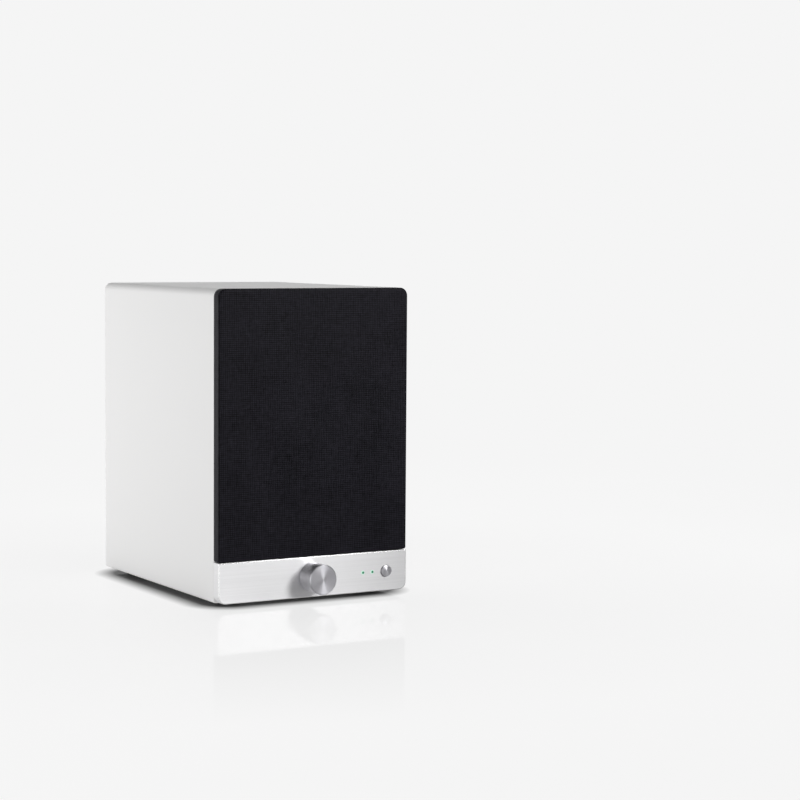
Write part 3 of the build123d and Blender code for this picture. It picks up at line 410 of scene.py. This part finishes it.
def lined_shell(node):
    """A plated shell round a dark moulding, which shows inside its opening."""
    look = Look("lined_shell", Metallic=1.0)
    middle, half = centre(node), half_size(node)
    face, wall = 0.4 * MM, 1.1 * MM
    point = look.place(origin=middle)
    inside = look.maths("LESS_THAN", look.part(look.place(), "Y"), middle.y + half.y - face)
    for axis, reach in (("X", half.x), ("Z", half.z)):
        off_centre = look.maths("ABSOLUTE", look.part(point, axis))
        inside = look.maths("MULTIPLY", inside, look.maths("LESS_THAN", off_centre, reach - wall))
    plated = look.between(look.noise(look.place(), 120.0, 5.0), grey(0.60, 0.02), grey(0.80, 0.02))
    look.colour(inside, plated, grey(0.012))
    look.rough(look.noise(point, 300.0), 0.22, 0.32)
    look.relief(look.noise(look.place((200, 3000, 700)), 1.0), 0.06, 0.05 * MM)
    return look.material


CLOTH_DARK = (0.0015, 0.0014, 0.0019)
CLOTH_LIGHT = (0.0265, 0.0250, 0.0340)

SLOT_LOOKS = {
    "white_lacquer": lacquer(),
    "fibreboard": fibreboard(),
    "felt": felted(),
    "rubber_black": moulded("rubber_black", grey(0.022), 0.72, grain=1100.0),
    "grille_fabric": woven("grille_fabric", CLOTH_DARK, CLOTH_LIGHT, 1.6 * MM, 0.40,
                           depth=0.1 * MM, slubs=0.3, gloss=0.06),
    "frame_plastic": moulded("frame_plastic", grey(0.016), 0.55),
    "bar_aluminium": brushed_bar(),
    "knob_aluminium": turned_metal("knob_aluminium", KNOB, 0.84, 0.42, pitch=0.22 * MM),
    "button_metal": turned_metal("button_metal", BUTTON, 0.82, 0.38, pitch=0.3 * MM),
    "light_pipe": light_pipe(),
    "circuit_board": board(),
    "bright_steel": metal("bright_steel", 0.62, 0.34),
    "black_steel": metal("black_steel", 0.05, 0.38),
    "basket_metal": moulded("basket_metal", grey(0.016), 0.34, grain=900.0, strength=0.12, gloss=0.2),
    "cone_paper": pressed_cone("cone_paper", WOOFER, 0.020, 0.44),
    "surround_rubber": moulded("surround_rubber", grey(0.014), 0.36, grain=1500.0, strength=0.1),
    "spider_cloth": woven("spider_cloth", (0.30, 0.19, 0.05), (0.62, 0.45, 0.18), 0.8 * MM, 0.8),
    "copper_wire": wound("copper_wire", (0.72, 0.34, 0.17), 0.3, pitch=0.4 * MM),
    "former_foil": metal("former_foil", 0.78, 0.35),
    "ferrite": ferrite(),
    "plate_steel": metal("plate_steel", 0.52, 0.4, blotch=300.0),
    "black_plastic": moulded("black_plastic", grey(0.018), 0.48),
    "dome_silk": woven("dome_silk", grey(0.014), grey(0.035), 0.25 * MM, 0.5, sheen=0.2, depth=0.06 * MM),
    "plate_paint": moulded("plate_paint", grey(0.022), 0.55, grain=1300.0, strength=0.5, depth=0.15 * MM),
    "contact_metal": metal("contact_metal", 0.74, 0.22, warmth=0.02),
    "lever_red": moulded("lever_red", (0.50, 0.02, 0.02), 0.3, gloss=0.4, strength=0.08),
    "lever_black": moulded("lever_black", grey(0.02), 0.3, gloss=0.4, strength=0.08),
    "wire_jacket": moulded("wire_jacket", grey(0.03), 0.6, grain=700.0),
}
NODE_LOOKS = {"jack_insulators": jack_colours(), "network_socket": lined_shell("network_socket")}

SLOTS = {part["node"]: part["material_slot"] for part in frame["record"]["subparts"]}


def dress(piece, material):
    """Gives a piece one material on all of its faces."""
    if not piece.material_slots:
        piece.data.materials.append(material)
    for slot in piece.material_slots:
        slot.material = material


for name, node in frame["nodes"].items():
    dress(node, NODE_LOOKS.get(name) or SLOT_LOOKS[SLOTS[name]])


# ---- soft pieces, in their rest shape ---------------------------------------------------------------
def new_piece(name, points, faces, node, body=None):
    """A smooth mesh piece that stands for a CAD node and has its material. It rides a body when one is
    given.
    """
    mesh = new_mesh(name, points, faces)
    mesh.shade_smooth()
    piece = new_object(name, mesh)
    dress(piece, SLOT_LOOKS[SLOTS[node]])
    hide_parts(node)
    if body:
        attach(piece, body)
    return piece


def grid_faces(rows, columns, wrap_rows=False, wrap_columns=False):
    """Quads over a grid of points, closed round either way."""
    faces = []
    for i in range(rows if wrap_rows else rows - 1):
        for j in range(columns if wrap_columns else columns - 1):
            a, b = i * columns, (i + 1) % rows * columns
            k = (j + 1) % columns
            faces.append((a + j, a + k, b + k, b + j))
    return faces


def revolved(name, axis_point, profile, node, steps):
    """A closed profile of (radius, y) turned about the line along Y through a point."""
    points = []
    for k in range(steps):
        angle = 2 * pi * k / steps
        for r, y in profile:
            points.append((axis_point.x + r * cos(angle), y, axis_point.z + r * sin(angle)))
    faces = grid_faces(steps, len(profile), wrap_rows=True, wrap_columns=True)
    return new_piece(name, points, faces, node)


def thick_line(line, thickness):
    """A closed profile: a line of (radius, y) points and its copy set back in y."""
    return line + [(r, y + thickness) for r, y in reversed(line)]


def half_roll(inner, outer, seat, rise, steps, fullness=1.0):
    """A line of (radius, y) that rises from its seat towards the front and comes back to it."""
    middle, half = (inner + outer) / 2, (outer - inner) / 2
    line = []
    for k in range(steps + 1):
        angle = pi * k / steps
        line.append((middle - half * cos(angle), seat - rise * sin(angle) ** fullness))
    return line


def follow_by_radius(piece):
    """Bakes a ring's place into its mesh. The ring lies between a moving body at its inner radius and the
    cabinet at its outer one, but nothing here bends it.
    """
    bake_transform(piece)


def woofer_surround():
    """The rubber half-roll between the cone's rim and the frame, with its two glue rings."""
    low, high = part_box("woofer_surround")
    thickness = 0.6 * MM
    cone_lap, frame_lap = (2.6 * MM, 1.3 * MM), (1.4 * MM, 2.7 * MM)
    seat = high.y - thickness
    inner = half_size("woofer_cone").x + 0.2 * MM
    outer = half_size("woofer_surround").x - 2.8 * MM
    line = [(inner - r, seat) for r in cone_lap]
    line += half_roll(inner, outer, seat, seat - low.y, steps=24, fullness=0.9)
    line += [(outer + r, seat) for r in frame_lap]
    profile = thick_line(line, thickness)
    piece = revolved("woofer_surround_roll", WOOFER, profile, "woofer_surround", steps=144)
    follow_by_radius(piece)


def woofer_spider():
    """The corrugated cloth ring that centres the voice coil."""
    low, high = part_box("woofer_spider")
    thickness, glued_edge = 0.5 * MM, 4.0 * MM
    waves, steps, height_used = 4, 64, 0.9
    inner = half_size("voice_coil_former").x + 0.05 * MM
    outer = half_size("woofer_spider").x
    middle = (low.y + high.y - thickness) / 2
    rise = (high.y - low.y - thickness) / 2 * height_used
    line = []
    for k in range(steps + 1):
        t = k / steps
        line.append((inner + t * (outer - glued_edge - inner), middle - rise * sin(2 * pi * waves * t)))
    line.append((outer, middle))
    profile = thick_line(line, thickness)
    piece = revolved("woofer_spider_ring", WOOFER, profile, "woofer_spider", steps=96)
    follow_by_radius(piece)


def tweeter_suspension():
    """The small half-roll round the dome."""
    low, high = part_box("tweeter_suspension")
    thickness = 0.3 * MM
    seat = high.y - thickness
    inner = half_size("tweeter_dome").x
    outer = half_size("tweeter_suspension").x
    roll_in, roll_out = inner + 0.4 * MM, outer - 1.5 * MM
    roll = half_roll(roll_in, roll_out, seat, seat - low.y, steps=16)
    profile = thick_line([(inner, seat), *roll, (outer, seat)], thickness)
    piece = revolved("tweeter_roll", TWEETER, profile, "tweeter_suspension", steps=96)
    follow_by_radius(piece)


def button_dome():
    """The rubber dome behind the power button, in its rest shape; the real one folds as the button goes in.
    """
    low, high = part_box("button_dome")
    at = centre("button_dome")
    wall, foot = 0.45 * MM, 0.5 * MM
    top_r, base_r, foot_r = 1.7 * MM, 4.0 * MM, half_size("button_dome").x
    front = [(0.0, low.y), (top_r, low.y), (base_r, high.y - foot), (foot_r, high.y - foot)]
    back = [(foot_r, high.y), (base_r - wall, high.y), (top_r - wall, low.y + wall), (0.0, low.y + wall)]
    piece = revolved("button_dome_rubber", at, front + back, "button_dome", steps=48)
    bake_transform(piece)


def terminal_leaves():
    """A bent steel leaf behind each terminal lever, in its rest shape; the real one gives as the lever goes
    in.
    """
    low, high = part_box("terminal_springs")
    width, thickness = 6.0 * MM, 0.4 * MM
    steps, bend, slant = 16, 0.8, 0.6
    ring = (0, 1, 3, 2)
    for lever, body in (("terminal_lever_left", "left_lever"), ("terminal_lever_right", "right_lever")):
        x = centre(lever).x
        points, faces = [], []
        for k in range(steps + 1):
            t = k / steps
            y = low.y + (high.y - low.y - thickness) * t ** bend
            z = high.z - thickness - (high.z - low.z - thickness) * t
            for side in (x - width / 2, x + width / 2):
                points += [(side, y, z), (side, y + thickness, z + thickness * slant)]
        for first in range(0, 4 * steps, 4):
            for a, b in zip(ring, ring[1:] + ring[:1]):
                faces.append((first + a, first + b, first + b + 4, first + a + 4))
        faces += [(0, 2, 3, 1), tuple(4 * steps + a for a in ring)]
        leaf = new_piece(lever.replace("terminal_lever", "leaf"), points, faces, "terminal_springs")
        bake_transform(leaf)


def rounded_outline(low, high, low_r, high_r):
    """Points (x, z) round a rectangle whose lower and upper corners have different radii."""
    steps = 10
    corners = (
        (high.x - high_r, high.z - high_r, high_r, 0), (low.x + high_r, high.z - high_r, high_r, 90),
        (low.x + low_r, low.z + low_r, low_r, 180), (high.x - low_r, low.z + low_r, low_r, 270),
    )
    points = []
    for x, z, r, first in corners:
        for k in range(steps + 1):
            angle = radians(first + 90 * k / steps)
            points.append((x + r * cos(angle), z + r * sin(angle)))
    return points


def fill_in(points, spacing):
    """More points on the long straight runs of a closed outline."""
    filled = []
    for a, b in zip(points, points[1:] + points[:1]):
        a, b = Vector(a), Vector(b)
        count = max(1, round((b - a).length / spacing))
        filled += [a.lerp(b, k / count) for k in range(count)]
    return filled


def slack(x, z):
    """How far the cloth gives over the frame's round opening."""
    opening_r, deepest = 77 * MM, 0.35 * MM
    r = Vector((x - WOOFER.x, z - WOOFER.z)).length / opening_r
    return deepest * max(0.0, 1 - r * r) ** 1.5


def grille_cloth():
    """Black cloth stretched over the frame and round its edges, a little slack over the openings."""
    low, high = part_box("grille_cloth")
    top_r, low_r, edge_r, thickness = 6.5 * MM, 1.5 * MM, 1.4 * MM, 0.5 * MM
    side_rings, side_gap, outline_gap = 3, 2.5 * MM, 3 * MM
    edge_steps, inner_rings, smallest_ring = 6, 40, 0.002
    middle = (low + high) / 2
    rings = [(0.0, high.y - k * side_gap) for k in range(side_rings)]
    for k in range(edge_steps + 1):
        angle = radians(90 * k / edge_steps)
        rings.append((edge_r * (1 - cos(angle)), low.y + edge_r * (1 - sin(angle))))
    base = fill_in(rounded_outline(low, high, low_r, top_r), outline_gap)
    points = []
    for inset, y in rings:
        scale_x = 1 - inset / (middle.x - low.x)
        scale_z = 1 - inset / (middle.z - low.z)
        for p in base:
            points.append((middle.x + (p.x - middle.x) * scale_x, y, middle.z + (p.y - middle.z) * scale_z))
    edge = points[-len(base):]
    for k in range(1, inner_rings + 1):
        scale = max(1 - k / inner_rings, smallest_ring)
        for edge_x, y, edge_z in edge:
            x, z = middle.x + (edge_x - middle.x) * scale, middle.z + (edge_z - middle.z) * scale
            points.append((x, y + slack(x, z), z))
    rows = len(rings) + inner_rings
    faces = grid_faces(rows, len(base), wrap_columns=True)
    faces.append(tuple(range((rows - 1) * len(base), rows * len(base))))
    piece = new_piece("grille_cloth_weave", points, faces, "grille_cloth", "grille")
    skin = piece.modifiers.new("thickness", "SOLIDIFY")
    skin.thickness = thickness
    skin.offset = -1.0


def felt_mat(name, corner, u, v, out):
    """A felt mat on a wall: from one corner along u and v, as thick as out, with soft worn edges."""
    rows, columns = 30, 30
    worn, edge_share = 5 * MM, 0.45
    lumps, lumps_per_metre = 0.08, 70
    front, back = [], []
    for i in range(rows + 1):
        for j in range(columns + 1):
            across, along = i / rows, j / columns
            at = corner + u * across + v * along
            margin = min(across, 1 - across) * u.length, min(along, 1 - along) * v.length
            inward = min(1.0, min(margin) / worn)
            full = edge_share + (1 - edge_share) * (1 - (1 - inward) ** 2) ** 0.5
            back.append(at)
            front.append(at + out * full * (1 - lumps + lumps * noise.noise(at * lumps_per_metre)))
    faces = grid_faces(rows + 1, columns + 1)
    count, wide = len(front), columns + 1
    under = [tuple(count + k for k in reversed(face)) for face in faces]
    rim = list(range(columns)) + [i * wide + columns for i in range(rows)]
    rim += [rows * wide + j for j in range(columns, 0, -1)] + [i * wide for i in range(rows, 0, -1)]
    sides = [(a, a + count, b + count, b) for a, b in zip(rim, rim[1:] + rim[:1])]
    piece = new_piece(name, front + back, faces + under + sides, "damping_felt", "cabinet")


def damping_felt():
    """Mats on both side walls and under the top."""
    low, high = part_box("damping_felt")
    thick, gap_above = 4.0 * MM, 3.0 * MM
    top_left, top_front, top_width = -20 * MM, -60 * MM, 86 * MM
    deep = Vector((0, high.y - low.y, 0))
    tall = Vector((0, 0, high.z - low.z - gap_above))
    felt_mat("felt_left", Vector(low), deep, tall, Vector((thick, 0, 0)))
    felt_mat("felt_right", Vector((high.x, low.y, low.z)), tall, deep, Vector((-thick, 0, 0)))
    corner = Vector((top_left, top_front, high.z))
    wide, deep = Vector((top_width, 0, 0)), Vector((0, high.y - top_front, 0))
    felt_mat("felt_top", corner, wide, deep, Vector((0, 0, -thick)))


woofer_surround()
woofer_spider()
tweeter_suspension()
button_dome()
terminal_leaves()
grille_cloth()
damping_felt()


# ---- floor, light and camera ------------------------------------------------------------------------
WHITE = 0.913
TABLE_GLOW = 0.83


def disc(name, z):
    """A flat round sheet, centred under the speaker and as broad as the scene."""
    radius, count = 40.0, 96
    points = [(radius * cos(2 * pi * k / count), radius * sin(2 * pi * k / count), z) for k in range(count)]
    flat = new_object(name, new_mesh(name, points, [tuple(range(count))]))
    return flat


def floor():
    """A broad white light table, with a painted shadow where the speaker stands on it and a faint
    reflection close by.
    """
    table = disc("floor", 0.0)
    table.visible_glossy = False
    look = Look("floor", Roughness=0.6, Specular_IOR_Level=0.0, Emission_Color=(1, 1, 1, 1))
    corner_r, painted_shadow_width, near, far, reflection_end = 25 * MM, 18 * MM, 0.3, 1.2, 0.42
    half = half_size("cabinet_wrap")
    point = look.place(origin=centre("cabinet_wrap"))
    beyond = {}
    for i, axis in enumerate("XY"):
        outside = look.maths("SUBTRACT", look.maths("ABSOLUTE", look.part(point, axis)), half[i] - corner_r)
        beyond[i] = look.maths("MAXIMUM", outside, 0.0)
    away = look.maths("SUBTRACT", look.length(look.add("CombineXYZ", beyond)), corner_r)
    near_tone = look.spread(look.noise(look.place(), 3.0), 0.24, 0.26)
    tone = look.maths("MULTIPLY", near_tone, look.spread(away, 1.0, 0.0, near, far))
    look.colour(tone, grey(0.0), grey(1.0))
    # Painted shadow: the emission is nothing under the speaker and rises to full strength within a short
    # width round it.
    shadowed_glow = look.spread(away, 0.0, TABLE_GLOW, 0.0, painted_shadow_width)
    rest = look.spread(away, 0.0, WHITE - TABLE_GLOW, near, far)
    look.set(Emission_Strength=look.maths("ADD", shadowed_glow, rest))
    mirror = look.add("BsdfGlossy", {"Color": (0.8, 0.8, 0.8, 1), "Roughness": 0.04})
    share = look.spread(away, 0.15, 0.0, 0.0, reflection_end)
    mixed = look.add("MixShader", {0: share, 1: look.shader.outputs[0], 2: mirror})
    look.put(mixed, look.nodes["Material Output"].inputs["Surface"])
    dress(table, look.material)
    return table


def reflected_floor():
    """Stands in for the floor in reflections, a painted reflection: white on the left, dimmer on the right,
    with painted shade by the knob.
    """
    under = disc("reflected_floor", -0.5 * MM)
    under.visible_camera = False
    under.visible_diffuse = False
    under.visible_shadow = False
    look = Look("reflected_floor", Roughness=1.0, Specular_IOR_Level=0.0, Emission_Color=(1, 1, 1, 1))
    look.colour(look.noise(look.place(), 3.0), grey(0.0), grey(0.01))
    # Painted shade in reflections: the emission falls to about a third in a spot in front of the knob and
    # to its left.
    painted_shade_spot = KNOB + Vector((-20 * MM, -35 * MM, 0))
    spot_r, clear_r = 10 * MM, 50 * MM
    shade = look.spread(look.radius(painted_shade_spot, flatten=(1, 1, 0)), 0.35, 1.0, spot_r, clear_r)
    white_x, dim_x = -0.25, 0.12
    # Painted reflection: the stand-in floor is white on the left and dim on the right.
    across = look.spread(look.part(look.place(), "X"), WHITE, 0.22, white_x, dim_x)
    look.set(Emission_Strength=look.maths("MULTIPLY", across, shade))
    dress(under, look.material)


def card(name, at, size):
    """A dark card that faces the speaker, for its reflection. The camera doesn't see the card itself."""
    tone = 0.04
    w, h = size[0] / 2, size[1] / 2
    corners = [(-w, -h, 0), (w, -h, 0), (w, h, 0), (-w, h, 0)]
    flag = new_object(name, new_mesh(name, corners, [(0, 1, 2, 3)]))
    flag.location = at
    flag.rotation_euler = (MIDDLE - Vector(at)).to_track_quat("Z", "Y").to_euler()
    flag.visible_camera = False
    look = Look(name, Roughness=0.9)
    look.colour(look.noise(look.place(), 4.0), grey(tone * 0.9), grey(tone * 1.1))
    dress(flag, look.material)


def world():
    """Soft white light from all round, weaker from above."""
    sky = bpy.data.worlds.new("studio")
    bpy.context.scene.world = sky
    sky.use_nodes = True
    nodes, links = sky.node_tree.nodes, sky.node_tree.links
    direction = nodes.new("ShaderNodeTexCoord").outputs["Generated"]
    height = nodes.new("ShaderNodeSeparateXYZ")
    links.new(direction, height.inputs[0])
    fade = nodes.new("ShaderNodeMapRange")
    links.new(height.outputs["Z"], fade.inputs["Value"])
    for name, value in (("From Min", 0.12), ("From Max", 0.6), ("To Min", WHITE), ("To Max", 0.26)):
        fade.inputs[name].default_value = value
    links.new(fade.outputs[0], nodes["Background"].inputs["Strength"])
    nodes["Background"].inputs["Color"].default_value = (1, 1, 1, 1)


def soft_box(name, at, size, watts):
    """A rectangular area light that faces the speaker."""
    lamp = bpy.data.lights.new(name, "AREA")
    lamp.shape = "RECTANGLE"
    lamp.size, lamp.size_y = size
    lamp.energy = watts
    light = new_object(name, lamp)
    light.location = at
    light.rotation_euler = (MIDDLE - Vector(at)).to_track_quat("-Z", "Y").to_euler()
    return light


def keep_off(light, table):
    """Stops a low light from burning out the floor that it stands close to."""
    unlit = bpy.data.collections.new(light.name + "_unlit")
    unlit.objects.link(table)
    unlit.collection_objects[0].light_linking.link_state = "EXCLUDE"
    light.light_linking.receiver_collection = unlit


def camera():
    """A long lens in front and to the left, a little above the speaker's top."""
    lens = bpy.data.cameras.new("camera")
    lens.lens = 97.2
    lens.clip_end = 200.0
    eye = new_object("camera", lens)
    eye.location = MIDDLE + Vector((-0.822, -1.639, 0.168))
    eye.rotation_euler = (radians(85.70), radians(-0.39), radians(-30.47))
    bpy.context.scene.camera = eye


bpy.context.scene.view_settings.view_transform = "Standard"
table = floor()
reflected_floor()
world()
left_box = soft_box("left_box", at=(-0.70, 0.38, 0.08), size=(0.3, 0.3), watts=1.75)
keep_off(left_box, table)
key_strip = soft_box("key_strip", at=(0.48, -1.00, 0.50), size=(0.32, 0.5), watts=3.3)
keep_off(key_strip, table)
soft_box("edge_strip", at=(-1.2, -0.70, 0.35), size=(0.10, 0.7), watts=0.6)
soft_box("top_strip", at=(0.7, -0.12, 1.25), size=(0.9, 0.2), watts=2.35)
card("right_flag", at=(1.15, -1.45, 0.80), size=(1.8, 1.5))
card("side_flag", at=(1.75, 0.0, 0.80), size=(1.4, 1.5))
card("front_flag", at=(-0.95, -2.1, 0.95), size=(1.7, 1.8))
camera()
